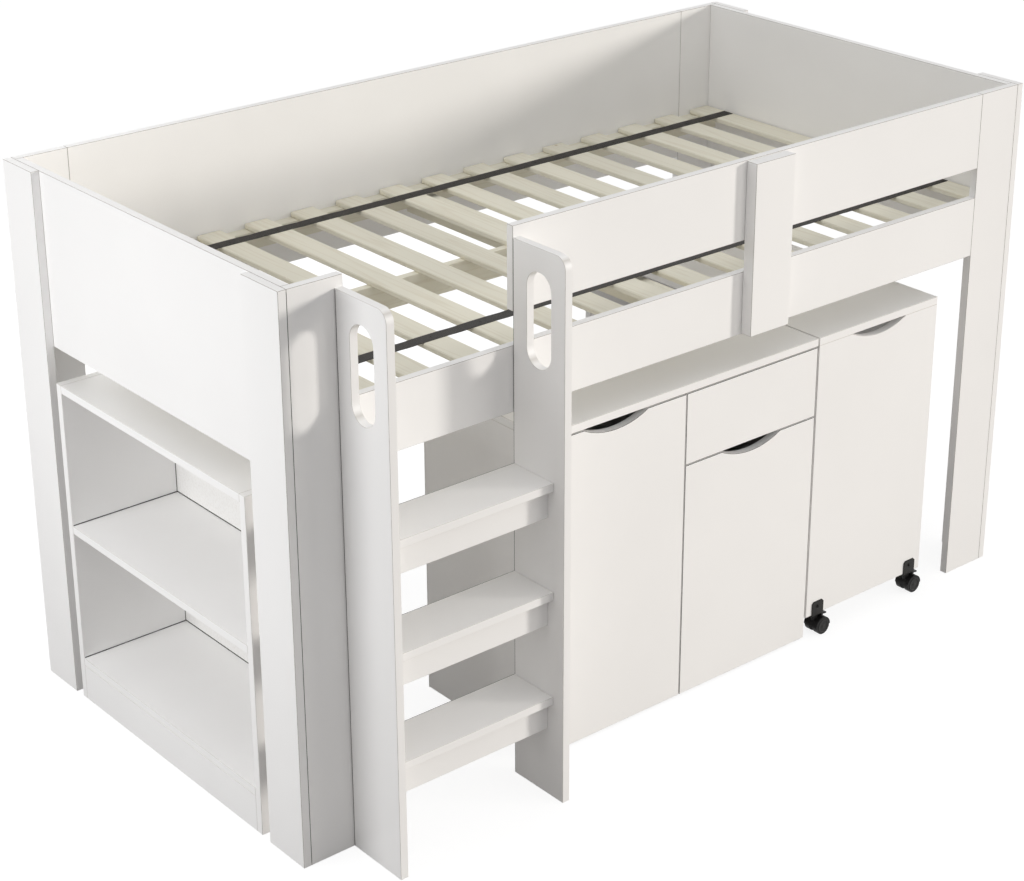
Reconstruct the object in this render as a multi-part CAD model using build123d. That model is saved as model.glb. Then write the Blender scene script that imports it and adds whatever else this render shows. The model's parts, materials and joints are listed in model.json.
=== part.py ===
from build123d import *
import math
import os

# A mid-sleeper bed in white faced board, with its bookcase, cupboard and pull-out desk underneath.
# Millimetres, +Z up. The bed's long way is X, its ladder side faces -Y, and the floor is Z = 0.
# The origin is on the floor, under the middle of the whole footprint with the ladder.

# Bed frame
length = 2009.0
width = 980.0
height = 1189.0
board = 18.0
arris = 0.8
leg_face = 120.0
leg_end = 116.0
end_panel_bottom = 810.0
rail_bottom = 811.0
rail_top = 949.0
guard_bottom = 1018.0
post_width = 112.0
post_thickness = 28.0
post_setback = 2.0
post_to_leg = 618.0

# Slatted base
slat_top = 929.0
slat_width = 60.0
slat_thickness = 12.0
slat_count = 16
slat_first_gap = 28.0
slat_last_gap = 4.0
slat_end_gap = 2.0
slat_arris = 2.0
ledge_width = 30.0
ledge_height = 40.0
beam_height = 60.0
beam_thickness = 18.0
beam_offset = 10.0
cross_offset = 9.5
strap_width = 30.0
strap_thickness = 1.2
strap_front_gap = 154.0
strap_back_gap = 84.0
strap_inset = 2.0

# Ladder
stringer_depth = 150.0
stringer_drop = 23.0
stringer_corner = 25.0
ladder_clear = 389.0
slot_width = 70.0
slot_height = 194.0
slot_margin = 48.0
tread_count = 3
tread_depth = 120.0
first_tread_top = 233.0
tread_rise = 235.0
apron_height = 62.0
apron_setback = 17.0

# Bookcase
bookcase_head_gap = 69.0
bookcase_depth = 258.0
bookcase_front_gap = 29.0
bookcase_back_gap = 25.0
bookcase_inset = 2.0
middle_shelf_top = 419.0
bottom_shelf_top = 101.0
hardboard = 3.0

# Cupboard
unit_head_gap = 73.0
ladder_gap = 55.5
cupboard_depth = 383.0
carcass_gap = 3.0
front_gap = 3.0
front_margin = 2.0
right_door_top = 553.0
cupboard_base_top = 78.0
cupboard_shelf_top = 408.0
shelf_setback = 30.0
cut_chord = 174.0
cut_depth = 21.0

# Door pivots: a bracket at each end of a door, with a pin near the door's outer front corner
pivot_inset = 8.5
pin_radius = 2.5
pin_length = 10.0
pin_clearance = 0.05
seat_gap = 0.3
bracket_floor_gap = 2.3
bracket_nose = 5.0
bracket_corner = 3.0
bracket_reach = 14.0
bracket_leg = 30.0

# Drawer
drawer_side = 12.0
drawer_side_gap = 2.0
drawer_height = 110.0
drawer_length = 332.0
drawer_lift = 9.0
drawer_base = 4.0
drawer_base_up = 6.0
drawer_groove = 5.0
runner_height = 10.0
runner_bite = 5.5
runner_up = 50.0
runner_length = 300.0

# Desk
desk_gap = 3.5
desk_leg_gap = 104.0
desk_width = 383.0
desk_depth = 762.0
stretcher_height = 300.0
stretcher_inset = 20.0

# Castors
wheel_radius = 20.0
wheel_width = 14.0
web_width = 10.0
wheel_gap = 0.5
hood_gap = 0.8
hood_wall = 1.8
web_foot = 10.0
web_taper = 60.0
trail = 11.0
castor_neck = 6.9
castor_back = 8.0
castor_swing_gap = 1.15
boss_radius = 8.0
boss_sides = 8
kingpin_radius = 3.0
kingpin_length = 20.0
axle_radius = 2.5
running_clearance = 0.05
angle_width = 36.0
angle_height = 36.0
angle_depth = 31.0
angle_metal = 2.5
angle_corner = 5.0

# Castor brakes
brake_bearing = 75.0
brake_lift = 3.7
brake_slope = 12.0
brake_reach = 16.9
brake_width = 12.0
brake_thickness = 3.5
brake_hub = 3.2
brake_pin = 2.0
lever_hub = 2.6
ear_width = 2.5

# Places worked out from the sizes above
x_left = -length / 2
x_right = length / 2
y_front = (stringer_depth - width) / 2
y_back = y_front + width
inner_left = x_left + 2 * board
inner_right = x_right - 2 * board
inner_front = y_front + board
inner_back = y_back - board
face_left = x_left + board + leg_face
face_right = x_right - board - leg_face
ladder_left = face_left
ladder_right = face_left + ladder_clear
bookcase_height = end_panel_bottom - bookcase_head_gap
unit_height = rail_bottom - unit_head_gap
desk_right = face_right - desk_leg_gap
desk_left = desk_right - desk_width
slat_bottom = slat_top - slat_thickness

carcass_left = ladder_right + board + ladder_gap
carcass_right = desk_left - desk_gap
carcass_middle = (carcass_left + carcass_right) / 2
carcass_front = inner_front + carcass_gap
carcass_back = y_front + cupboard_depth - hardboard
carcass_top = unit_height - board
pivot_plate = front_gap - 2 * seat_gap
door_bottom = bracket_floor_gap + pivot_plate + seat_gap
front_top = carcass_top - front_gap
drawer_front_bottom = right_door_top + front_gap
deck_bottom = right_door_top + 5.0
left_bay = (carcass_left + board, carcass_middle - board / 2)
right_bay = (carcass_middle + board / 2, carcass_right - board)
left_door_edges = (carcass_left + front_margin, carcass_middle - front_gap / 2)
right_door_edges = (carcass_middle + front_gap / 2, carcass_right - front_margin)

desk_back = y_front + desk_depth
wheel_arch = wheel_radius + hood_gap
hood_radius = wheel_arch + hood_wall
castor_half = web_width / 2 + wheel_gap + wheel_width
angle_bottom = wheel_radius + hood_radius + castor_neck
desk_panel_bottom = angle_bottom + angle_metal
castor_swing = math.hypot(trail + hood_radius, castor_half)
castor_inset = castor_swing + castor_swing_gap - desk_gap

parts = {}


def block(x0, x1, y0, y1, z0, z1):
    """A plain block between two corners."""
    centre = ((x0 + x1) / 2, (y0 + y1) / 2, (z0 + z1) / 2)
    return Pos(*centre) * Box(x1 - x0, y1 - y0, z1 - z0)


def panel(x0, x1, y0, y1, z0, z1):
    """A board with eased edges."""
    return chamfer(block(x0, x1, y0, y1, z0, z1).edges(), arris)


def upright(x, y, z0, z1, radius):
    """An upright cylinder."""
    return Pos(x, y, (z0 + z1) / 2) * Cylinder(radius, z1 - z0)


def across(x, z, y0, y1, radius):
    """A cylinder that lies along Y."""
    return Pos(x, (y0 + y1) / 2, z) * Rot(90, 0, 0) * Cylinder(radius, y1 - y0)


def side_profile(sketch, x0, x1):
    """A sketch drawn in Y and Z, given a thickness along X."""
    return extrude(Plane.YZ.offset(x0) * sketch, x1 - x0)


def front_profile(sketch, y0, y1):
    """A sketch drawn in X and Z, given a thickness along Y."""
    return extrude(Plane.XZ.offset(-y1) * sketch, y1 - y0)


def ease_faces(body, axis):
    """Eased edges round the two faces of a board that look along an axis."""
    flats = body.faces().filter_by(axis)
    return chamfer([edge for face in flats for edge in face.edges()], arris)


def build_legs():
    """Each corner is an end board with a face board butted to its inside."""
    for side, x0, x1 in (("left", x_left, x_left + board), ("right", x_right - board, x_right)):
        parts[f"front_{side}_end_board"] = panel(x0, x1, y_front, y_front + leg_end, 0, height)
        parts[f"back_{side}_end_board"] = panel(x0, x1, y_back - leg_end, y_back, 0, height)
    for side, x0, x1 in (("left", x_left + board, face_left), ("right", face_right, x_right - board)):
        parts[f"front_{side}_face_board"] = panel(x0, x1, y_front, inner_front, 0, height)
        parts[f"back_{side}_face_board"] = panel(x0, x1, inner_back, y_back, 0, height)


def build_bed_sides():
    """End panels inside the legs, the back panel, and the two front rails with their post."""
    z0 = end_panel_bottom
    parts["left_end_panel"] = panel(x_left + board, inner_left, inner_front, inner_back, z0, height)
    parts["right_end_panel"] = panel(inner_right, x_right - board, inner_front, inner_back, z0, height)
    parts["back_panel"] = panel(face_left, face_right, inner_back, y_back, rail_bottom, height)
    parts["side_rail"] = panel(face_left, face_right, y_front, inner_front, rail_bottom, rail_top)
    parts["guard_rail"] = panel(ladder_right, face_right, y_front, inner_front, guard_bottom, height)
    post_right = face_right - post_to_leg
    parts["centre_post"] = panel(post_right - post_width, post_right, y_front - post_thickness, y_front,
                                 rail_bottom + post_setback, height - post_setback)


def build_slat_base():
    """Slats on two ledges, a centre beam and a cross rail, tied together by two straps."""
    ledge_bottom = slat_bottom - ledge_height
    ledge_sides = ((inner_front, inner_front + ledge_width), (inner_back - ledge_width, inner_back))
    ledges = [block(inner_left, inner_right, y0, y1, ledge_bottom, slat_bottom) for y0, y1 in ledge_sides]
    parts["slat_ledges"] = Compound(children=ledges)

    # The beam and the cross rail are halved over each other, so that both carry the slats.
    beam_bottom = slat_bottom - beam_height
    beam_middle = slat_bottom - beam_height / 2
    beam_y0 = (y_front + y_back - beam_thickness) / 2 + beam_offset
    beam_y1 = beam_y0 + beam_thickness
    cross_x0 = cross_offset - beam_thickness / 2
    cross_x1 = cross_x0 + beam_thickness
    beam = block(inner_left, inner_right, beam_y0, beam_y1, beam_bottom, slat_bottom)
    parts["centre_beam"] = beam - block(cross_x0, cross_x1, beam_y0, beam_y1, beam_bottom, beam_middle)
    cross = block(cross_x0, cross_x1, inner_front, inner_back, beam_bottom, slat_bottom)
    cross -= block(cross_x0, cross_x1, beam_y0, beam_y1, beam_middle, slat_bottom)
    for y0, y1 in ledge_sides:
        cross -= block(cross_x0, cross_x1, y0, y1, ledge_bottom, slat_bottom)
    parts["cross_rail"] = cross

    first = inner_left + slat_first_gap
    last = inner_right - slat_last_gap - slat_width
    pitch = (last - first) / (slat_count - 1)
    slat = block(first, first + slat_width, inner_front + slat_end_gap, inner_back - slat_end_gap,
                 slat_bottom, slat_top)
    slat = chamfer(slat.edges().filter_by(Axis.Y), slat_arris)
    slats = [Pos(i * pitch, 0, 0) * slat for i in range(slat_count)]
    parts["slats"] = Compound(children=slats)

    straps = [block(first + slat_arris + strap_inset, last + slat_width - slat_arris - strap_inset,
                    centre - strap_width / 2, centre + strap_width / 2,
                    slat_top, slat_top + strap_thickness)
              for centre in (inner_front + strap_front_gap, inner_back - strap_back_gap)]
    parts["slat_straps"] = Compound(children=straps)


def stringer(x0):
    """A ladder side with a rounded front top corner and an upright hand slot."""
    top = height - stringer_drop
    outline = Pos(y_front - stringer_depth / 2, top / 2) * Rectangle(stringer_depth, top)
    front_corner = outline.vertices().group_by(Axis.Y)[-1].sort_by(Axis.X)[0]
    outline = fillet(front_corner, stringer_corner)
    slot_centre = top - slot_margin - slot_height / 2
    slot = Pos(y_front - stringer_depth / 2, slot_centre) * Rot(0, 0, 90) * SlotOverall(slot_height, slot_width)
    return ease_faces(side_profile(outline - slot, x0, x0 + board), Axis.X)


def build_ladder():
    """Two stringers with the treads between them, each tread on a set-back apron."""
    parts["left_stringer"] = stringer(ladder_left - board)
    parts["right_stringer"] = stringer(ladder_right)
    treads = []
    aprons = []
    for i in range(tread_count):
        top = first_tread_top + i * tread_rise
        treads.append(panel(ladder_left, ladder_right, y_front - tread_depth, y_front, top - board, top))
        apron_front = y_front - tread_depth + apron_setback
        aprons.append(panel(ladder_left, ladder_right, apron_front, apron_front + board,
                            top - board - apron_height, top - board))
    parts["ladder_treads"] = Compound(children=treads)
    parts["tread_aprons"] = Compound(children=aprons)


def build_bookcase():
    """Two sides, a top, two shelves and a plinth, closed by a thin back. It opens towards -X."""
    x0 = x_left + bookcase_inset
    x1 = x0 + bookcase_depth
    y0 = y_front + leg_end + bookcase_front_gap
    y1 = y_back - leg_end - bookcase_back_gap
    in0 = y0 + board
    in1 = y1 - board
    sides = [panel(x0, x1, y0, in0, 0, bookcase_height), panel(x0, x1, in1, y1, 0, bookcase_height)]
    parts["bookcase_sides"] = Compound(children=sides)
    shelf_tops = {"top": bookcase_height, "middle_shelf": middle_shelf_top, "bottom_shelf": bottom_shelf_top}
    for name, top in shelf_tops.items():
        parts[f"bookcase_{name}"] = panel(x0, x1, in0, in1, top - board, top)
    parts["bookcase_plinth"] = panel(x0, x0 + board, in0, in1, 0, bottom_shelf_top - board)
    parts["bookcase_back"] = block(x1, x1 + hardboard, y0, y1, 0, bookcase_height)


def front_board(x0, x1, z0, z1, with_cut=True):
    """A door or front panel, with a shallow arc for the fingers cut from its top edge."""
    outline = Pos((x0 + x1) / 2, (z0 + z1) / 2) * Rectangle(x1 - x0, z1 - z0)
    if with_cut:
        radius = (cut_chord ** 2 / 4 + cut_depth ** 2) / (2 * cut_depth)
        outline -= Pos((x0 + x1) / 2, z1 - cut_depth + radius) * Circle(radius)
    return ease_faces(front_profile(outline, y_front, inner_front), Axis.Y)


def build_cupboard():
    """Two equal bays: shelves behind a tall door, and a drawer over a shorter door."""
    sides = [panel(x0, x0 + board, carcass_front, carcass_back, 0, carcass_top)
             for x0 in (carcass_left, carcass_right - board)]
    parts["cupboard_sides"] = Compound(children=sides)
    parts["cupboard_divider"] = panel(left_bay[1], right_bay[0], carcass_front, carcass_back,
                                      cupboard_base_top, carcass_top)
    parts["cupboard_top"] = panel(carcass_left, carcass_right, y_front, carcass_back + hardboard,
                                  carcass_top, unit_height)
    parts["cupboard_bottom"] = panel(left_bay[0], right_bay[1], carcass_front, carcass_back,
                                     cupboard_base_top - board, cupboard_base_top)
    parts["cupboard_back"] = block(carcass_left, carcass_right, carcass_back, carcass_back + hardboard,
                                   0, carcass_top)
    parts["cupboard_shelf"] = panel(*left_bay, carcass_front + shelf_setback, carcass_back,
                                    cupboard_shelf_top - board, cupboard_shelf_top)
    parts["drawer_deck"] = panel(*right_bay, carcass_front + shelf_setback, carcass_back,
                                 deck_bottom, deck_bottom + board)


def pivot_bracket():
    """A bracket that carries a door's lower end, for a side panel on its left.

    Its pin's axis is Z, and the plate lies on Z = 0. The flange is screwed to the side panel's inside.
    """
    side_face = board - front_margin - pivot_inset
    side_front = board + carcass_gap - pivot_inset
    front_arm = Pos((side_face + bracket_reach - bracket_nose) / 2, (side_front - bracket_nose) / 2) * Rectangle(
        side_face + bracket_reach + bracket_nose, side_front + bracket_nose)
    front_arm = chamfer(front_arm.vertices().group_by(Axis.Y)[0], bracket_corner)
    back_arm = Pos(side_face + bracket_reach / 2, side_front + bracket_leg / 2) * Rectangle(
        bracket_reach, bracket_leg)
    plate = extrude(front_arm + back_arm, pivot_plate)
    flange = block(side_face, side_face + pivot_plate, side_front, side_front + bracket_leg, 0, bracket_leg)
    pin = upright(0, 0, 0, pivot_plate + seat_gap + pin_length, pin_radius)
    return plate + flange + pin


def build_doors():
    """Two doors that turn on bracket pins in their top and bottom edges, with the four brackets."""
    pin_y = y_front + pivot_inset
    hole_radius = pin_radius + pin_clearance
    hole_depth = pin_length + seat_gap
    lower = pivot_bracket()
    upper = mirror(lower, Plane.XY)
    brackets = []
    for name, edges, top, pin_x, handed in (
            ("left_door", left_door_edges, front_top, left_door_edges[0] + pivot_inset, False),
            ("right_door", right_door_edges, right_door_top, right_door_edges[1] - pivot_inset, True)):
        door = front_board(*edges, door_bottom, top)
        door -= upright(pin_x, pin_y, door_bottom, door_bottom + hole_depth, hole_radius)
        door -= upright(pin_x, pin_y, top - hole_depth, top, hole_radius)
        parts[name] = door
        for bracket, z in ((lower, bracket_floor_gap), (upper, top + seat_gap + pivot_plate)):
            piece = mirror(bracket, Plane.YZ) if handed else bracket
            brackets.append(Pos(pin_x, pin_y, z) * piece)
    parts["door_pivots"] = Compound(children=brackets)


def build_drawer():
    """A front, a box of thin boards round a hardboard base, and runner strips in side grooves."""
    x0 = right_bay[0] + drawer_side_gap
    x1 = right_bay[1] - drawer_side_gap
    y0 = inner_front
    y1 = y0 + drawer_length
    z0 = deck_bottom + board + drawer_lift
    z1 = z0 + drawer_height
    base = block(x0 + drawer_side - drawer_groove, x1 - drawer_side + drawer_groove, y0,
                 y1 - drawer_side + drawer_groove, z0 + drawer_base_up, z0 + drawer_base_up + drawer_base)
    parts["drawer_front"] = front_board(*right_door_edges, drawer_front_bottom, front_top, with_cut=False)
    parts["drawer_base"] = base

    strip_z = z0 + runner_up
    groove_depth = runner_bite + seat_gap
    boards = []
    strips = []
    for side_x, inward in ((x0, 1), (x1, -1)):
        a, b = sorted((side_x, side_x + inward * drawer_side))
        side = panel(a, b, y0, y1, z0, z1) - base
        a, b = sorted((side_x, side_x + inward * groove_depth))
        side -= block(a, b, y0 + board, y1, strip_z - seat_gap, strip_z + runner_height + seat_gap)
        boards.append(side)
        a, b = sorted((side_x - inward * drawer_side_gap, side_x + inward * runner_bite))
        strips.append(block(a, b, y1 - runner_length, y1, strip_z, strip_z + runner_height))
    boards.append(panel(x0 + drawer_side, x1 - drawer_side, y1 - drawer_side, y1, z0, z1) - base)
    parts["drawer_box"] = Compound(children=boards)
    parts["drawer_runners"] = Compound(children=strips)


def build_desk():
    """A narrow top on two end panels, braced under its far edge, open to the knees."""
    parts["desk_top"] = panel(desk_left, desk_right, y_front, desk_back, carcass_top, unit_height)
    parts["desk_front_panel"] = front_board(desk_left, desk_right, desk_panel_bottom, carcass_top)
    parts["desk_back_panel"] = panel(desk_left, desk_right, desk_back - board, desk_back,
                                     desk_panel_bottom, carcass_top)
    stretcher_right = desk_right - stretcher_inset
    parts["desk_stretcher"] = panel(stretcher_right - board, stretcher_right, inner_front,
                                    desk_back - board, carcass_top - stretcher_height, carcass_top)


def castor_angle():
    """The angle on a desk panel with its riveted kingpin. The castor's swivel axis is Z."""
    back = -castor_back - angle_metal
    upper = Pos(0, angle_bottom + angle_height / 2) * Rectangle(angle_width, angle_height)
    upper = chamfer(upper.vertices().group_by(Axis.Y)[-1], angle_corner)
    flange = block(-angle_width / 2, angle_width / 2, back, back + angle_depth,
                   angle_bottom, angle_bottom + angle_metal)
    flange = chamfer(flange.edges().filter_by(Axis.Z).group_by(Axis.Y)[-1], angle_corner)
    kingpin = upright(0, 0, angle_bottom - kingpin_length, angle_bottom, kingpin_radius)
    return front_profile(upper, back, -castor_back) + flange + kingpin


def brake_centre():
    """The brake pin's place beside the hood, in the castor's X and Z."""
    reach = hood_radius + brake_lift
    bearing = math.radians(brake_bearing)
    return trail + reach * math.cos(bearing), wheel_radius + reach * math.sin(bearing)


def castor_housing(braked):
    """A moulded web and hood for two wheels, with a swivel boss and, on some, a brake's ears."""
    centre = Pos(trail, wheel_radius)
    upper_half = centre * Pos(0, hood_radius / 2) * Rectangle(2 * hood_radius, hood_radius)
    half_disc = centre * Circle(hood_radius) & upper_half
    hood = front_profile(half_disc - centre * Circle(wheel_arch), -castor_half, castor_half)
    foot = centre * Pos(0, -web_foot / 2) * Rot(0, 0, 180) * Trapezoid(2 * web_foot, web_foot, web_taper)
    body = hood + front_profile(half_disc + foot, -web_width / 2, web_width / 2)
    boss_bottom = wheel_radius + wheel_arch / 2
    boss_top = angle_bottom - seat_gap
    body += extrude(Pos(0, 0, boss_bottom) * RegularPolygon(boss_radius, boss_sides), boss_top - boss_bottom)
    if braked:
        root = hood_radius - hood_wall / 2
        tip = hood_radius + brake_lift + brake_hub
        outline = centre * Rot(0, 0, brake_bearing) * Pos((root + tip) / 2, 0) * Rectangle(
            tip - root, 2 * brake_hub)
        outline -= Pos(*brake_centre()) * Circle(brake_pin + running_clearance)
        ear_in = brake_width / 2 + seat_gap
        for y0, y1 in ((ear_in, ear_in + ear_width), (-ear_in - ear_width, -ear_in)):
            body += front_profile(outline, y0, y1)
    for side in (-1, 1):
        y0, y1 = sorted((side * web_width / 2, side * castor_half))
        body -= across(trail, wheel_radius, y0, y1, wheel_arch)
    body -= across(trail, wheel_radius, -web_width / 2, web_width / 2, axle_radius + running_clearance)
    return body - upright(0, 0, angle_bottom - kingpin_length - seat_gap, boss_top,
                          kingpin_radius + running_clearance)


def wheel_pair():
    """Two wheels moulded on to the ends of one axle."""
    inner = castor_half - wheel_width
    near = across(trail, wheel_radius, -castor_half, -inner, wheel_radius)
    far = across(trail, wheel_radius, inner, castor_half, wheel_radius)
    return near + across(trail, wheel_radius, -inner, inner, axle_radius) + far


def brake_lever():
    """A foot lever on a cross pin over the hood, thinner towards its tip."""
    x, z = brake_centre()
    tip = brake_thickness / 2
    outline = Polygon((-lever_hub, -lever_hub), (lever_hub, -lever_hub), (brake_reach, -tip),
                      (brake_reach, tip), (lever_hub, lever_hub), (-lever_hub, lever_hub), align=None)
    lever = front_profile(Pos(x, z) * Rot(0, 0, -brake_slope) * outline, -brake_width / 2, brake_width / 2)
    pin_half = brake_width / 2 + seat_gap + ear_width
    return lever + across(x, z, -pin_half, pin_half, brake_pin)


def build_castors():
    """Four twin-wheel castors under the desk's end panels. The front two have brakes."""
    angles = []
    angle = castor_angle()
    for row, y, turn, braked in (("front", y_front + castor_back, 0, True),
                                 ("back", desk_back - castor_back, 180, False)):
        for side, x in (("left", desk_left + castor_inset), ("right", desk_right - castor_inset)):
            angles.append(Pos(x, y, 0) * Rot(0, 0, turn) * angle)
            parts[f"{row}_{side}_castor_housing"] = Pos(x, y, 0) * castor_housing(braked)
            parts[f"{row}_{side}_castor_wheels"] = Pos(x, y, 0) * wheel_pair()
            if braked:
                parts[f"{row}_{side}_castor_brake"] = Pos(x, y, 0) * brake_lever()
    parts["castor_angles"] = Compound(children=angles)


for build in (build_legs, build_bed_sides, build_slat_base, build_ladder, build_bookcase,
              build_cupboard, build_doors, build_drawer, build_desk, build_castors):
    build()

os.makedirs("parts", exist_ok=True)
for name, solid in parts.items():
    export_step(solid, f"parts/{name}.step")
print(len(parts), "nodes written")
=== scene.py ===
import json
import math
import bpy
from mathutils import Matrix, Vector


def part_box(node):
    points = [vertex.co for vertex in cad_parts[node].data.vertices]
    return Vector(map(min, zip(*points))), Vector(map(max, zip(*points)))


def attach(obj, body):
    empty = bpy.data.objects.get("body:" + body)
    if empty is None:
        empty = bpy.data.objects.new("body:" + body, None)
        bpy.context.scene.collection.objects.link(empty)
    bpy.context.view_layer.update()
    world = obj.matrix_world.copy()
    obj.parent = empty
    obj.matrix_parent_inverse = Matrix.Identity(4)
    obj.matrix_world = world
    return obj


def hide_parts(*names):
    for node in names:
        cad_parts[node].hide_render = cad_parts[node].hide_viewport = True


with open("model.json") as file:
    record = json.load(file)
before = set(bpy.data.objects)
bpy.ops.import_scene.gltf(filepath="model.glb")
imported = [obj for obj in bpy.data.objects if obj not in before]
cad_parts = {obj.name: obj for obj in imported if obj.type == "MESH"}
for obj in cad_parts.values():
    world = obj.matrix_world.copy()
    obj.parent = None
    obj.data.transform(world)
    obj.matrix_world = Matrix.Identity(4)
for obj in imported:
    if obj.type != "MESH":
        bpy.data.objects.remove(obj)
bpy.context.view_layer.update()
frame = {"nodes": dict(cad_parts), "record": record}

nodes = frame["nodes"]
scene = bpy.context.scene
millimetre = 0.001
smoothAngle = math.radians(35)   # round faces of the small turned parts meet below this
print("frame loaded:", len(nodes), "nodes")


# Small helpers for colours and shader nodes

def hexColour(text):
    # sRGB hex to the linear values that the shaders take
    channels = [int(text[i:i + 2], 16) / 255 for i in (1, 3, 5)]
    linear = [c / 12.92 if c <= 0.04045 else ((c + 0.055) / 1.055) ** 2.4 for c in channels]
    return (*linear, 1.0)


def addNode(tree, kind, inputs=None, **settings):
    # inputs takes sockets to link or values to set, by name or index
    node = tree.nodes.new(kind)
    for name, value in settings.items():
        setattr(node, name, value)
    for key, value in (inputs or {}).items():
        if isinstance(value, bpy.types.NodeSocket):
            tree.links.new(value, node.inputs[key])
        else:
            node.inputs[key].default_value = value
    return node


def addMath(tree, operation, *values):
    return addNode(tree, "ShaderNodeMath", dict(enumerate(values)), operation=operation).outputs[0]


def addRange(tree, value, start, end, low, high, **settings):
    # the stretch from start to end becomes low to high
    places = {"Value": value, "From Min": start, "From Max": end, "To Min": low, "To Max": high}
    return addNode(tree, "ShaderNodeMapRange", places, **settings).outputs["Result"]


def addNoise(tree, place, size, detail, roughness=0.5):
    # size is about the length of one cloud
    values = {"Vector": place, "Scale": 1 / size, "Detail": detail, "Roughness": roughness}
    return addNode(tree, "ShaderNodeTexNoise", values).outputs["Fac"]


def addRamp(tree, value, stops):
    # stops are (position, hex colour), and two of them reuse the ramp's own two
    node = addNode(tree, "ShaderNodeValToRGB", {"Fac": value})
    elements = node.color_ramp.elements
    while len(elements) < len(stops):
        elements.new(0.5)
    for element, (position, colour) in zip(elements, stops):
        element.position = position
        element.color = hexColour(colour)
    return node.outputs["Color"]


def addBlend(tree, share, first, second):
    # the first colour at share 0, the second at share 1
    mix = addNode(tree, "ShaderNodeMix", {"Factor": share, "A": first, "B": second}, data_type="RGBA")
    return mix.outputs["Result"]


def addBump(tree, shader, height, strength, depth):
    bump = addNode(tree, "ShaderNodeBump", {"Height": height, "Strength": strength, "Distance": depth})
    tree.links.new(bump.outputs["Normal"], shader.inputs["Normal"])


def startMaterial(name):
    # an empty node tree with its output and shader
    material = bpy.data.materials.new(name)
    material.use_nodes = True
    tree = material.node_tree
    tree.nodes.clear()
    shader = addNode(tree, "ShaderNodeBsdfPrincipled")
    addNode(tree, "ShaderNodeOutputMaterial", {"Surface": shader.outputs["BSDF"]})
    coords = addNode(tree, "ShaderNodeTexCoord")
    return material, tree, shader, coords


# Small helpers for picking and finishing pieces

def deselectAll():
    if bpy.context.object and bpy.context.object.mode != "OBJECT":
        bpy.ops.object.mode_set(mode="OBJECT")
    bpy.ops.object.select_all(action="DESELECT")


def activate(piece):
    deselectAll()
    piece.select_set(True)
    bpy.context.view_layer.objects.active = piece


def applyModifier(piece, kind, **settings):
    activate(piece)
    modifier = piece.modifiers.new(kind.title(), kind)
    for key, value in settings.items():
        setattr(modifier, key, value)
    bpy.ops.object.modifier_apply(modifier=modifier.name)


def finishPiece(piece, material, body):
    # place into the mesh, then material and body
    activate(piece)
    bpy.ops.object.transform_apply(location=True, rotation=True, scale=True)
    piece.data.materials.clear()
    piece.data.materials.append(material)
    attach(piece, body)


def dressNode(name, material):
    mesh = nodes[name].data
    mesh.materials.clear()
    mesh.materials.append(material)


# Melamine-faced chipboard: white paper foil pressed on a pearl plate, so matt with a fine orange peel

board = {
    "faceLight": "#f8f7f6",
    "faceDark": "#f5f4f3",
    "openArrisShade": "#dad7d3",   # painted shade along an arris in plain view
    "steppedArrisShade": "#b4b0ab",   # darker painted shade along an arris beside a shallow step
    "jointShade": "#2f2d2a",   # dark painted shade along an arris pressed against the next board, and in the thin line of a joint
    "arrisNormal": 0.72,   # the longest part of a normal on an arris, where two axes share it
    "faceNormal": 0.9,   # and on a face
    "roughness": 0.46,
    "rougher": 0.06,
    "smoother": 0.05,
    "ior": 1.5,
    "cloudSize": 420 * millimetre,   # slow drift of the tone over a sheet
    "pearlSize": 3.0 * millimetre,   # the real pearl is 0.6 mm, drawn coarser to show
    "pearlDepth": 0.12 * millimetre,
    "pearlStrength": 0.35,
    "handlingSize": 70 * millimetre,   # faint wiped patches in the sheen
}


def addBand(tree, value, start, end):
    # 1 where the value lies between the two, 0 elsewhere
    after = addMath(tree, "GREATER_THAN", value, start)
    before = addMath(tree, "LESS_THAN", value, end)
    return addMath(tree, "MULTIPLY", after, before)


def addJointShadeLines(tree, place, colour, lines):
    # lines are boxes in metres, each round a thin line of dark painted shade in a joint
    parts = addNode(tree, "ShaderNodeSeparateXYZ", {"Vector": place})
    for low, high in lines:
        bands = [addBand(tree, parts.outputs[axis], low[axis], high[axis]) for axis in range(3)]
        flat = addMath(tree, "MULTIPLY", bands[0], bands[1])
        inside = addMath(tree, "MULTIPLY", flat, bands[2])
        colour = addBlend(tree, inside, colour, hexColour(board["jointShade"]))
    return colour


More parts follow.
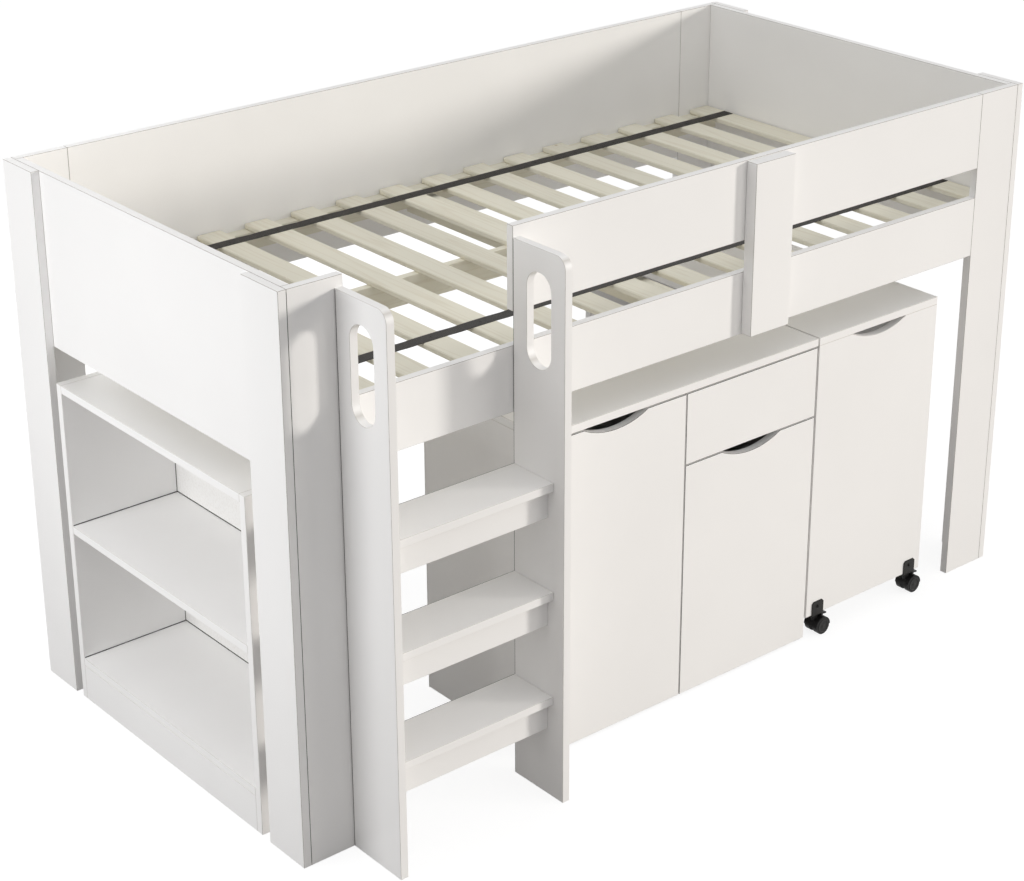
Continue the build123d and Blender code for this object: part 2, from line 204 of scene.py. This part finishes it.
def makeBoard(name, arrisShadeColour, joint=None, lines=()):
    # joint is (axis, from, to), the stretch in metres where the arris lies against the next board and is
    # painted with the dark joint shade
    material, tree, shader, coords = startMaterial(name)
    place = coords.outputs["Object"]
    cloud = addNoise(tree, place, board["cloudSize"], 3.0)
    tone = addRamp(tree, cloud, [(0.35, board["faceDark"]), (0.65, board["faceLight"])])

    # the eased arris is known by its normal, which lies between two axes, and is painted with a line of
    # shade
    bare = addNode(tree, "ShaderNodeVectorMath", {0: coords.outputs["Normal"]}, operation="ABSOLUTE")
    axes = addNode(tree, "ShaderNodeSeparateXYZ", {"Vector": bare.outputs["Vector"]})
    highXY = addMath(tree, "MAXIMUM", axes.outputs["X"], axes.outputs["Y"])
    high = addMath(tree, "MAXIMUM", highXY, axes.outputs["Z"])
    arris = addRange(tree, high, board["arrisNormal"], board["faceNormal"], 1.0, 0.0)
    inJoint = 0.0
    if joint:
        axis, start, end = joint
        parts = addNode(tree, "ShaderNodeSeparateXYZ", {"Vector": place})
        inJoint = addBand(tree, parts.outputs[axis], start, end)
    # the arris's painted shade: the dark joint shade within the joint's stretch, the lighter arris shade
    # elsewhere
    arrisShadeTone = addBlend(tree, inJoint, hexColour(arrisShadeColour), hexColour(board["jointShade"]))
    colour = addBlend(tree, arris, tone, arrisShadeTone)
    tree.links.new(addJointShadeLines(tree, place, colour, lines), shader.inputs["Base Color"])

    wiped = addNoise(tree, place, board["handlingSize"], 2.0)
    smoothest = board["roughness"] - board["smoother"]
    roughest = board["roughness"] + board["rougher"]
    sheen = addRange(tree, wiped, 0.3, 0.7, smoothest, roughest)
    tree.links.new(sheen, shader.inputs["Roughness"])
    pearl = addNoise(tree, place, board["pearlSize"], 1.5)
    addBump(tree, shader, pearl, board["pearlStrength"], board["pearlDepth"])
    shader.inputs["IOR"].default_value = board["ior"]
    return material


# Lacquered hardboard: smooth on the white side, thin backs and the drawer's base

hardboard = {
    "face": "#f3f2f0",
    "fleck": "#eceae7",
    "roughness": 0.52,
    "fleckSize": 5 * millimetre,
    "fibreDepth": 0.1 * millimetre,
    "fibreStrength": 0.3,
}


def makeHardboard(name, lines=()):
    material, tree, shader, coords = startMaterial(name)
    place = coords.outputs["Object"]
    fibre = addNoise(tree, place, hardboard["fleckSize"], 4.0)
    tone = addRamp(tree, fibre, [(0.3, hardboard["fleck"]), (0.55, hardboard["face"])])
    # the lines are dark painted joint shade, as on the boards
    tree.links.new(addJointShadeLines(tree, place, tone, lines), shader.inputs["Base Color"])
    addBump(tree, shader, fibre, hardboard["fibreStrength"], hardboard["fibreDepth"])
    shader.inputs["Roughness"].default_value = hardboard["roughness"]
    return material


# Planed pine: pale, with darker late wood in long lines and a few knots

pine = {
    "early": "#efebda",
    "late": "#e8e2cf",
    "knotHeart": "#b39a74",
    "knotRing": "#cdbd9b",
    "roughness": 0.62,
    "ringSpacing": 5.5 * millimetre,
    "wanderSize": 45 * millimetre,   # how far apart the rings bend
    "grainStretch": 0.045,   # how slowly the grain changes along the piece
    "boardSize": 260 * millimetre,   # about how far the tone of a board holds
    "boardVariation": 0.10,
    "boardLift": 0.02,
    "knotSpacing": 190 * millimetre,
    "knotSize": 7 * millimetre,
    "knotFlat": 0.2,   # knots run on through the thickness
    "knotShare": 0.45,
    "ringPush": 2.2,   # rings that a knot pushes aside
    "poreSize": 1.6 * millimetre,
    "poreDepth": 0.15 * millimetre,
    "poreStrength": 0.4,
}


def makePine(name, along):
    # along is 0 or 1, the axis that the fibres follow
    material, tree, shader, coords = startMaterial(name)
    place = coords.outputs["Object"]
    stretch = [1.0, 1.0, 1.0]
    stretch[along] = pine["grainStretch"]
    fibres = addNode(tree, "ShaderNodeMapping", {"Vector": place, "Scale": tuple(stretch)})
    grainPlace = fibres.outputs["Vector"]

    # each knot is a small round spot that pushes the rings aside
    knotPlace = addNode(tree, "ShaderNodeMapping", {"Vector": place, "Scale": (1.0, 1.0, pine["knotFlat"])})
    knots = addNode(tree, "ShaderNodeTexVoronoi", {"Vector": knotPlace.outputs["Vector"],
                                                   "Scale": 1 / pine["knotSpacing"]})
    away = knots.outputs["Distance"]
    lottery = addNode(tree, "ShaderNodeSeparateXYZ", {"Vector": knots.outputs["Color"]})
    chosen = addMath(tree, "LESS_THAN", lottery.outputs["X"], pine["knotShare"])
    size = pine["knotSize"] / pine["knotSpacing"]
    near = addRange(tree, away, size * 0.5, size * 3.2, 1.0, 0.0, interpolation_type="SMOOTHSTEP")
    push = addMath(tree, "MULTIPLY", near, chosen)

    wander = addNoise(tree, grainPlace, pine["wanderSize"], 2.0, roughness=0.45)
    rings = addMath(tree, "MULTIPLY", wander, pine["wanderSize"] / pine["ringSpacing"])
    pushed = addMath(tree, "MULTIPLY_ADD", push, pine["ringPush"], rings)
    bands = addMath(tree, "FRACT", pushed)
    grain = addRamp(tree, bands, [(0.0, pine["early"]), (0.62, pine["early"]), (0.86, pine["late"]),
                                  (1.0, pine["early"])])

    # no two boards are quite the same tone
    boardTone = addNoise(tree, grainPlace, pine["boardSize"], 0.0)
    lift = addRange(tree, boardTone, 0.3, 0.7, 1 - pine["boardVariation"], 1 + pine["boardLift"])
    toned = addNode(tree, "ShaderNodeVectorMath", {0: grain, "Scale": lift}, operation="SCALE")
    knotMask = addRange(tree, away, size * 0.55, size, 1.0, 0.0)
    knotHere = addMath(tree, "MULTIPLY", knotMask, chosen)
    knotTone = addRamp(tree, knotMask, [(0.0, pine["knotRing"]), (0.8, pine["knotHeart"])])
    colour = addBlend(tree, knotHere, toned.outputs["Vector"], knotTone)
    tree.links.new(colour, shader.inputs["Base Color"])

    pores = addNoise(tree, grainPlace, pine["poreSize"], 2.0)
    addBump(tree, shader, pores, pine["poreStrength"], pine["poreDepth"])
    shader.inputs["Roughness"].default_value = pine["roughness"]
    return material


# Woven polypropylene tape: charcoal, ribbed across, slightly shiny threads

webbing = {
    "thread": "#3b3834",
    # the gap colour is painted shade in the hollows between the threads
    "gap": "#1f1c19",
    "roughness": 0.66,
    "threadSpacing": 2.4 * millimetre,   # the real thread is 0.9 mm, drawn coarser to show
    "threadDepth": 0.3 * millimetre,
    "threadStrength": 0.6,
    "slack": 0.6,   # how unevenly the threads lie
    "slackScale": 40.0,
}


def makeWebbing():
    material, tree, shader, coords = startMaterial("woven polypropylene tape")
    wave = {"Vector": coords.outputs["Object"], "Scale": 1 / webbing["threadSpacing"] / 2,
            "Distortion": webbing["slack"], "Detail Scale": webbing["slackScale"]}
    weft, warp = [addNode(tree, "ShaderNodeTexWave", wave, bands_direction=axis).outputs["Fac"]
                  for axis in "XY"]
    weave = addMath(tree, "MULTIPLY", weft, warp)
    tone = addRamp(tree, weave, [(0.05, webbing["gap"]), (0.6, webbing["thread"])])
    tree.links.new(tone, shader.inputs["Base Color"])
    addBump(tree, shader, weave, webbing["threadStrength"], webbing["threadDepth"])
    shader.inputs["Roughness"].default_value = webbing["roughness"]
    return material


# Metals and plastics of the fittings, each with a tone and a sheen that drift with its grain

mattBlackGloss = 0.22   # specular level of the matt blacks, half that of plain nylon
fittings = {
    "zinc-plated steel": {
        "dark": "#aeb0b1", "light": "#c9c9c8", "roughness": 0.34, "metallic": 1.0,
        "grain": 0.5 * millimetre, "depth": 0.02 * millimetre},
    "moulded white nylon": {
        "dark": "#e2dfd7", "light": "#eeece6", "roughness": 0.4,
        "grain": 1.2 * millimetre, "depth": 0.05 * millimetre},
    "powder-coated steel": {
        "dark": "#141312", "light": "#211f1d", "roughness": 0.42, "gloss": mattBlackGloss,
        "grain": 1.4 * millimetre, "depth": 0.06 * millimetre},
    "moulded black nylon": {
        "dark": "#0e0d0d", "light": "#171616", "roughness": 0.38, "gloss": mattBlackGloss,
        "grain": 1.2 * millimetre, "depth": 0.06 * millimetre},
    "black wheel nylon": {
        "dark": "#121111", "light": "#222120", "roughness": 0.45, "gloss": mattBlackGloss, "spread": 0.12,
        "grain": 1.2 * millimetre, "depth": 0.06 * millimetre},
}
mottling = {
    "patch": 8,   # grains in one patch of tone
    "strength": 0.4,
    "spread": 0.08,   # of the roughness, unless a finish has its own
    "gloss": 0.5,
}


def makeMottled(name):
    finish = {**mottling, "metallic": 0.0, **fittings[name]}
    material, tree, shader, coords = startMaterial(name)
    place = coords.outputs["Object"]
    patches = addNoise(tree, place, finish["grain"] * finish["patch"], 3.0)
    tone = addRamp(tree, patches, [(0.35, finish["dark"]), (0.68, finish["light"])])
    smoothest = finish["roughness"] - finish["spread"]
    roughest = finish["roughness"] + finish["spread"]
    tree.links.new(tone, shader.inputs["Base Color"])
    tree.links.new(addRange(tree, patches, 0.3, 0.7, smoothest, roughest), shader.inputs["Roughness"])
    peel = addNoise(tree, place, finish["grain"], 2.0)
    addBump(tree, shader, peel, finish["strength"], finish["depth"])
    shader.inputs["Metallic"].default_value = finish["metallic"]
    shader.inputs["Specular IOR Level"].default_value = finish["gloss"]
    return material


# each board's arrises carry a painted line of shade: lighter in plain view, darker beside a step, darkest
# in a joint
bedBoard = makeBoard("melamine-faced chipboard, bed", board["steppedArrisShade"])
unitBoard = makeBoard("melamine-faced chipboard, units", board["openArrisShade"])
# every arris of the fronts gets the dark painted joint shade
frontBoard = makeBoard("melamine-faced chipboard, fronts", board["jointShade"])
whiteHardboard = makeHardboard("lacquered hardboard")
slatPine = makePine("planed pine, across the bed", 1)
beamPine = makePine("planed pine, along the bed", 0)
tape = makeWebbing()
zinc = makeMottled("zinc-plated steel")
nylon = makeMottled("moulded white nylon")
blackSteel = makeMottled("powder-coated steel")
mouldedPlastic = makeMottled("moulded black nylon")
treadPlastic = makeMottled("black wheel nylon")
print("materials ready")


# The webbing: a tape over each row of slats, pulled tight and stapled to each

slatRow = {
    "count": 16,
    "width": 60 * millimetre,
}
strap = {
    "segments": 8,   # across one slat and the gap after it
    "segmentsAcross": 4,
    "width": 30 * millimetre,
    "dip": 0.8 * millimetre,
    "thickness": 1.2 * millimetre,
    "hemRound": 0.35 * millimetre,
    "stapleCrown": 9.0 * millimetre,
    "stapleWire": 0.9 * millimetre,
    "stapleRaised": 0.09 * millimetre,   # its middle above the tape's top face
    "stapleRound": 0.27 * millimetre,
}
slatLow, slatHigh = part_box("slats")
strapLow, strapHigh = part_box("slat_straps")
slatPitch = (slatHigh[0] - slatLow[0] - slatRow["width"]) / (slatRow["count"] - 1)


def makeStrap(name, middle):
    # one flat strip with its dips, thickened downwards from the CAD tape's top face
    deselectAll()
    steps = slatRow["count"] * strap["segments"]
    length = strapHigh[0] - strapLow[0]
    bpy.ops.mesh.primitive_grid_add(x_subdivisions=steps, y_subdivisions=strap["segmentsAcross"], size=1.0)
    tapeStrip = bpy.context.object
    tapeStrip.name = name
    tapeStrip.scale = (length, strap["width"], 1)
    tapeStrip.location = ((strapLow[0] + strapHigh[0]) / 2, middle, strapLow[2] + strap["thickness"])
    bpy.ops.object.transform_apply(location=True, rotation=True, scale=True)
    gap = slatPitch - slatRow["width"]
    lastSlat = slatHigh[0] - slatRow["width"]
    for vertex in tapeStrip.data.vertices:
        along = (vertex.co.x - slatLow[0]) % slatPitch
        if along > slatRow["width"] and vertex.co.x < lastSlat:
            share = (along - slatRow["width"]) / gap
            vertex.co.z -= strap["dip"] * math.sin(math.pi * share) ** 2
    applyModifier(tapeStrip, "SOLIDIFY", thickness=strap["thickness"], offset=-1.0)
    applyModifier(tapeStrip, "BEVEL", width=strap["hemRound"], segments=2, limit_method="ANGLE")
    finishPiece(tapeStrip, tape, "bed")
    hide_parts("slat_straps")


def makeStaples(name, middle):
    # the crown of a staple on each slat, repeated by an array
    deselectAll()
    bpy.ops.mesh.primitive_cube_add(size=1.0)
    staple = bpy.context.object
    staple.name = name
    staple.scale = (strap["stapleWire"], strap["stapleCrown"], strap["stapleWire"])
    staple.location = (slatLow[0] + slatRow["width"] / 2, middle, strapHigh[2] + strap["stapleRaised"])
    bpy.ops.object.transform_apply(location=True, rotation=True, scale=True)
    applyModifier(staple, "BEVEL", width=strap["stapleRound"], segments=2)
    applyModifier(staple, "ARRAY", count=slatRow["count"], use_relative_offset=False,
                  use_constant_offset=True, constant_offset_displace=(slatPitch, 0, 0))
    finishPiece(staple, blackSteel, "bed")


halfStrap = strap["width"] / 2
for side, middle in (("front", strapLow[1] + halfStrap), ("back", strapHigh[1] - halfStrap)):
    makeStrap(f"{side}_slat_webbing", middle)
    makeStaples(f"{side}_webbing_staples", middle)
print("webbing stapled down")


# Small parts on the castors: moulded wheel caps and the screws in the angle plates

castorTrim = {
    "capRadius": 15.5 * millimetre,
    "capHeight": 1.4 * millimetre,
    "capSunk": 0.6 * millimetre,   # how far it sits in the wheel
    "capRim": 1.6 * millimetre,
    "capRound": 0.25 * millimetre,
    "dishDepth": 0.7 * millimetre,
    "dishSlope": 0.8 * millimetre,
    "hubRadius": 4.2 * millimetre,
    "hubHeight": 0.6 * millimetre,
    "hubSlope": 0.5 * millimetre,
    "screwRadius": 3.8 * millimetre,
    "screwHeight": 2.2 * millimetre,
    "screwSunk": 0.3 * millimetre,
    "screwShoulder": 0.9 * millimetre,
    "screwCrown": 0.35 * millimetre,   # its flat top above the shoulder
    "screwRound": 0.4 * millimetre,
    "recessLength": 4.4 * millimetre,
    "recessWidth": 1.0 * millimetre,
    "recessDepth": 1.3 * millimetre,
    "kingpin": 20.0 * millimetre,   # its length below the angle
    "screwUp": 22.0 * millimetre,   # above the angle's lower edge
    "screwIn": 18.0 * millimetre,   # from the angle's outer edge
}


def addCylinder(name, sides, radius, height, sunk):
    # its axis along Z, with that much of it below Z = 0
    deselectAll()
    bpy.ops.mesh.primitive_cylinder_add(vertices=sides, radius=radius, depth=height,
                                        location=(0, 0, height / 2 - sunk))
    piece = bpy.context.object
    piece.name = name
    bpy.ops.object.transform_apply(location=True, rotation=True, scale=True)
    return piece


def selectTopFace(piece):
    bpy.ops.object.mode_set(mode="EDIT")
    bpy.ops.mesh.select_all(action="DESELECT")
    bpy.ops.object.mode_set(mode="OBJECT")
    top = max(piece.data.polygons, key=lambda face: face.center.z * 1000 + face.normal.z + face.area)
    top.select = True
    bpy.ops.object.mode_set(mode="EDIT")
    bpy.ops.mesh.select_mode(type="FACE")


def makeWheelCap():
    # modelled once with its axis along Z and its seat at Z = 0
    trim = castorTrim
    cap = addCylinder("wheel_cap", 48, trim["capRadius"], trim["capHeight"], trim["capSunk"])
    selectTopFace(cap)
    bpy.ops.mesh.inset(thickness=trim["capRim"], depth=0)
    bpy.ops.mesh.inset(thickness=trim["dishSlope"], depth=-trim["dishDepth"])
    flatWidth = trim["capRadius"] - trim["capRim"] - trim["dishSlope"] - trim["hubRadius"]
    bpy.ops.mesh.inset(thickness=flatWidth, depth=0)
    bpy.ops.mesh.inset(thickness=trim["hubSlope"], depth=trim["hubHeight"])
    bpy.ops.object.mode_set(mode="OBJECT")
    applyModifier(cap, "BEVEL", width=trim["capRound"], segments=2, limit_method="ANGLE")
    bpy.ops.object.shade_smooth_by_angle(angle=smoothAngle)
    return cap


def makeScrew():
    # a pan head with a cross recess, its axis along Z and its seat at Z = 0
    trim = castorTrim
    screw = addCylinder("angle_screw", 32, trim["screwRadius"], trim["screwHeight"], trim["screwSunk"])
    selectTopFace(screw)
    bpy.ops.mesh.inset(thickness=trim["screwShoulder"], depth=0)
    bpy.ops.transform.translate(value=(0, 0, trim["screwCrown"]))
    bpy.ops.object.mode_set(mode="OBJECT")
    applyModifier(screw, "BEVEL", width=trim["screwRound"], segments=3, limit_method="ANGLE")
    top = trim["screwHeight"] - trim["screwSunk"] + trim["screwCrown"]
    for turn in (0, 90):
        deselectAll()
        bpy.ops.mesh.primitive_cube_add(size=1.0, location=(0, 0, top), rotation=(0, 0, math.radians(turn)))
        cutter = bpy.context.object
        cutter.scale = (trim["recessLength"], trim["recessWidth"], trim["recessDepth"] * 2)
        applyModifier(screw, "BOOLEAN", object=cutter, operation="DIFFERENCE", solver="EXACT")
        deselectAll()
        cutter.select_set(True)
        bpy.ops.object.delete()
    activate(screw)
    bpy.ops.object.shade_smooth_by_angle(angle=smoothAngle)
    return screw


def copyTo(source, name, place, outward, material, body):
    # outward is +1 or -1 along Y, the way the piece's own Z axis is turned
    piece = source.copy()
    piece.data = source.data.copy()
    piece.name = name
    scene.collection.objects.link(piece)
    piece.rotation_euler = (math.radians(-90 * outward), 0, 0)
    piece.location = place
    finishPiece(piece, material, body)


wheelCap = makeWheelCap()
angleScrew = makeScrew()
anglesLow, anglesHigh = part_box("castor_angles")
screwZ = anglesLow[2] + castorTrim["kingpin"] + castorTrim["screwUp"]
screwPlaces = {"left": anglesLow[0] + castorTrim["screwIn"], "right": anglesHigh[0] - castorTrim["screwIn"]}
for row, outward, plateFace in (("front", -1, anglesLow[1]), ("back", 1, anglesHigh[1])):
    for side, screwX in screwPlaces.items():
        low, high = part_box(f"{row}_{side}_castor_wheels")
        hubX, hubZ = (low[0] + high[0]) / 2, (low[2] + high[2]) / 2
        for end, turned, face in (("near", -1, low[1]), ("far", 1, high[1])):
            copyTo(wheelCap, f"{row}_{side}_wheel_cap_{end}", (hubX, face, hubZ), turned, treadPlastic,
                   f"{row}_{side}_wheels")
        copyTo(angleScrew, f"{row}_{side}_angle_screw", (screwX, plateFace, screwZ), outward,
               blackSteel, "desk")
deselectAll()
wheelCap.select_set(True)
angleScrew.select_set(True)
bpy.ops.object.delete()
print("castor trim fitted")


# Every carried-over node gets its material by its slot

slotMaterials = {
    "bed_board": bedBoard,
    "unit_board": unitBoard,
    "front_board": frontBoard,
    "hardboard": whiteHardboard,
    "pine": slatPine,
    "webbing": tape,
    "zinc_steel": zinc,
    "runner_plastic": nylon,
    "black_steel": blackSteel,
    "castor_plastic": mouldedPlastic,
    "wheel_plastic": treadPlastic,
}
for part in frame["record"]["subparts"]:
    dressNode(part["node"], slotMaterials[part["material_slot"]])
for name in ("centre_beam", "slat_ledges"):
    dressNode(name, beamPine)
for name in ("desk_top", "desk_front_panel", "desk_back_panel", "desk_stretcher"):
    dressNode(name, unitBoard)


# Boards that meet in a joint painted with dark shade: where that painted shade is drawn, and which arrises
# keep the lighter painted arris shade

joints = {
    "reach": 10.0,   # past every board
    "line": 2.0 * millimetre,   # width of the painted joint shade, wider than the real joint, to show
    "boardThickness": 18 * millimetre,
    "shelfNose": 20 * millimetre,   # the open front of a shelf
    "legEnd": 6 * millimetre,   # the open ends of a leg's face board
}
reach = joints["reach"]
line = joints["line"]


def dressShelves():
    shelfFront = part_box("bookcase_top")[0][0] + joints["shelfNose"]
    # the shelf's arrises are painted with dark joint shade behind its open front
    shelfBoard = makeBoard("melamine-faced chipboard, shelves", board["openArrisShade"], ("X", shelfFront, reach))
    for name in ("bookcase_middle_shelf", "bookcase_bottom_shelf"):
        dressNode(name, shelfBoard)


def dressBookcaseInside():
    # a line of painted shade above and below each shelf, and one up each corner between a side and the back
    sidesLow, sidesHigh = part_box("bookcase_sides")
    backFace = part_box("bookcase_back")[0][0]
    wall = joints["boardThickness"] - line
    innerLow = (sidesLow[0] + line, sidesLow[1] + wall)
    innerHigh = (backFace + line / 2, sidesHigh[1] - wall)
    cornerLines = []
    for name in ("bookcase_middle_shelf", "bookcase_bottom_shelf"):
        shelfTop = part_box(name)[1][2]
        cornerLines.append(((*innerLow, shelfTop - line), (*innerHigh, shelfTop + line)))
    uprightLine = ((backFace - line, innerLow[1], 0), (*innerHigh, sidesHigh[2]))
    sidesBoard = makeBoard("melamine-faced chipboard, bookcase sides", board["openArrisShade"],
                           lines=[*cornerLines, uprightLine])
    dressNode("bookcase_sides", sidesBoard)
    dressNode("bookcase_back", makeHardboard("lacquered hardboard, bookcase back", lines=cornerLines))


def dressLadder():
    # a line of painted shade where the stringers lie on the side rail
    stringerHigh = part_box("left_stringer")[1]
    stringerLine = ((-reach, stringerHigh[1] - line, 0), (reach, reach, stringerHigh[2] - line))
    ladderBoard = makeBoard("melamine-faced chipboard, ladder", board["openArrisShade"], lines=[stringerLine])
    for name in ("left_stringer", "right_stringer", "ladder_treads", "tread_aprons"):
        dressNode(name, ladderBoard)


def dressLeg():
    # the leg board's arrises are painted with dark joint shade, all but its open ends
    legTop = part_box("front_left_face_board")[1][2] - joints["legEnd"]
    legBoard = makeBoard("melamine-faced chipboard, leg faces", board["steppedArrisShade"],
                         ("Z", joints["legEnd"], legTop))
    dressNode("front_left_face_board", legBoard)


dressShelves()
dressBookcaseInside()
dressLadder()
dressLeg()
print("nodes dressed")


# Camera at the photograph's viewpoint

camera = {
    "place": (-3.0739, -3.5534, 2.6257),
    "turn": (66.9444, 0.1214, -39.9320),   # degrees about X, Y and Z
    "lens": 81.59,
    "sensor": 36.0,
    "shift": (-0.01139, -0.06594),
    "sight": 100.0,
}
cameraData = bpy.data.cameras.new("camera")
cameraData.sensor_width = camera["sensor"]
cameraData.lens = camera["lens"]
cameraData.shift_x, cameraData.shift_y = camera["shift"]
cameraData.clip_end = camera["sight"]
cameraObject = bpy.data.objects.new("camera", cameraData)
cameraObject.location = camera["place"]
cameraObject.rotation_euler = [math.radians(angle) for angle in camera["turn"]]
scene.collection.objects.link(cameraObject)
scene.camera = cameraObject


# Studio: a pale floor, a sky that is brighter overhead, a low key from the right and three softboxes

studio = {
    "floorSize": 40.0,
    "floorColour": "#959290",   # what the floor throws back on the bed
    "floorShade": 0.2,   # how much of a shadow shows on it
    "floorGlow": 0.86,
    "skyAllRound": 0.14,
    "skyTop": 0.80,
    "keyDirection": (-0.74, 0.66, -0.14),
    "keyStrength": 1.53,
    "keyAngle": 9.0,
    "warmWhite": "#fffaf3",
    "coolWhite": "#fdfeff",
}
softboxes = {
    "left softbox": {"place": (-2.6, 0.2, 1.25), "aim": (-1.0, 0.0, 0.6), "size": 1.2, "power": 20.5,
                     "colour": studio["coolWhite"]},
    "front softbox": {"place": (0.7, -2.6, 1.0), "aim": (0.1, -0.5, 0.7), "size": 1.2, "power": 11.0,
                      "colour": studio["warmWhite"]},
    "back softbox": {"place": (0.4, 3.2, 1.1), "aim": (0.0, 0.6, 0.7), "size": 1.2, "power": 30.0,
                     "colour": studio["coolWhite"]},
}


def lookRay(tree):
    # 1 for a ray that sees the studio, also in a gloss or through a piece, and 0 for one that lights
    path = addNode(tree, "ShaderNodeLightPath").outputs
    seen = addMath(tree, "MAXIMUM", path["Is Camera Ray"], path["Is Glossy Ray"])
    return addMath(tree, "MAXIMUM", seen, path["Is Transmission Ray"])


def makeFloor():
    deselectAll()
    bpy.ops.mesh.primitive_plane_add(size=studio["floorSize"], location=(0, 0, 0))
    floor = bpy.context.object
    floor.name = "floor"
    material = bpy.data.materials.new("pale studio floor")
    material.use_nodes = True
    tree = material.node_tree
    tree.nodes.clear()
    shade = studio["floorShade"]
    bounce = addNode(tree, "ShaderNodeBsdfDiffuse", {"Color": hexColour(studio["floorColour"])})
    faint = addNode(tree, "ShaderNodeBsdfDiffuse", {"Color": (shade, shade, shade, 1.0)})
    glow = addNode(tree, "ShaderNodeEmission", {"Strength": studio["floorGlow"]})
    shown = addNode(tree, "ShaderNodeAddShader", {0: faint.outputs[0], 1: glow.outputs[0]})
    mixed = addNode(tree, "ShaderNodeMixShader", {0: lookRay(tree), 1: bounce.outputs[0],
                                                  2: shown.outputs[0]})
    addNode(tree, "ShaderNodeOutputMaterial", {"Surface": mixed.outputs[0]})
    floor.data.materials.append(material)


def makeSky():
    world = bpy.data.worlds.new("studio sky")
    scene.world = world
    world.use_nodes = True
    tree = world.node_tree
    tree.nodes.clear()
    coords = addNode(tree, "ShaderNodeTexCoord")
    axes = addNode(tree, "ShaderNodeSeparateXYZ", {"Vector": coords.outputs["Generated"]})
    zenith = studio["skyAllRound"] + studio["skyTop"]
    glow = addRange(tree, axes.outputs["Z"], 0.0, 1.0, studio["skyAllRound"], zenith)
    strength = addNode(tree, "ShaderNodeMix", {"Factor": lookRay(tree), "A": glow, "B": 1.0},
                       data_type="FLOAT")
    background = addNode(tree, "ShaderNodeBackground", {"Color": (1.0, 1.0, 1.0, 1.0),
                                                        "Strength": strength.outputs[0]})
    addNode(tree, "ShaderNodeOutputWorld", {"Surface": background.outputs[0]})


def makeKey():
    lamp = bpy.data.lights.new("key", "SUN")
    lamp.energy = studio["keyStrength"]
    lamp.angle = math.radians(studio["keyAngle"])
    lamp.color = hexColour(studio["warmWhite"])[:3]
    key = bpy.data.objects.new("key", lamp)
    key.rotation_euler = Vector(studio["keyDirection"]).to_track_quat("-Z", "Y").to_euler()
    scene.collection.objects.link(key)


def makeSoftbox(name, box):
    lamp = bpy.data.lights.new(name, "AREA")
    lamp.shape = "SQUARE"
    lamp.size = box["size"]
    lamp.energy = box["power"]
    lamp.color = hexColour(box["colour"])[:3]
    softbox = bpy.data.objects.new(name, lamp)
    place = Vector(box["place"])
    softbox.location = place
    softbox.rotation_euler = (Vector(box["aim"]) - place).to_track_quat("-Z", "Y").to_euler()
    softbox.visible_camera = False
    scene.collection.objects.link(softbox)


makeFloor()
makeSky()
makeKey()
for name, box in softboxes.items():
    makeSoftbox(name, box)
scene.view_settings.view_transform = "Standard"
print("studio ready")
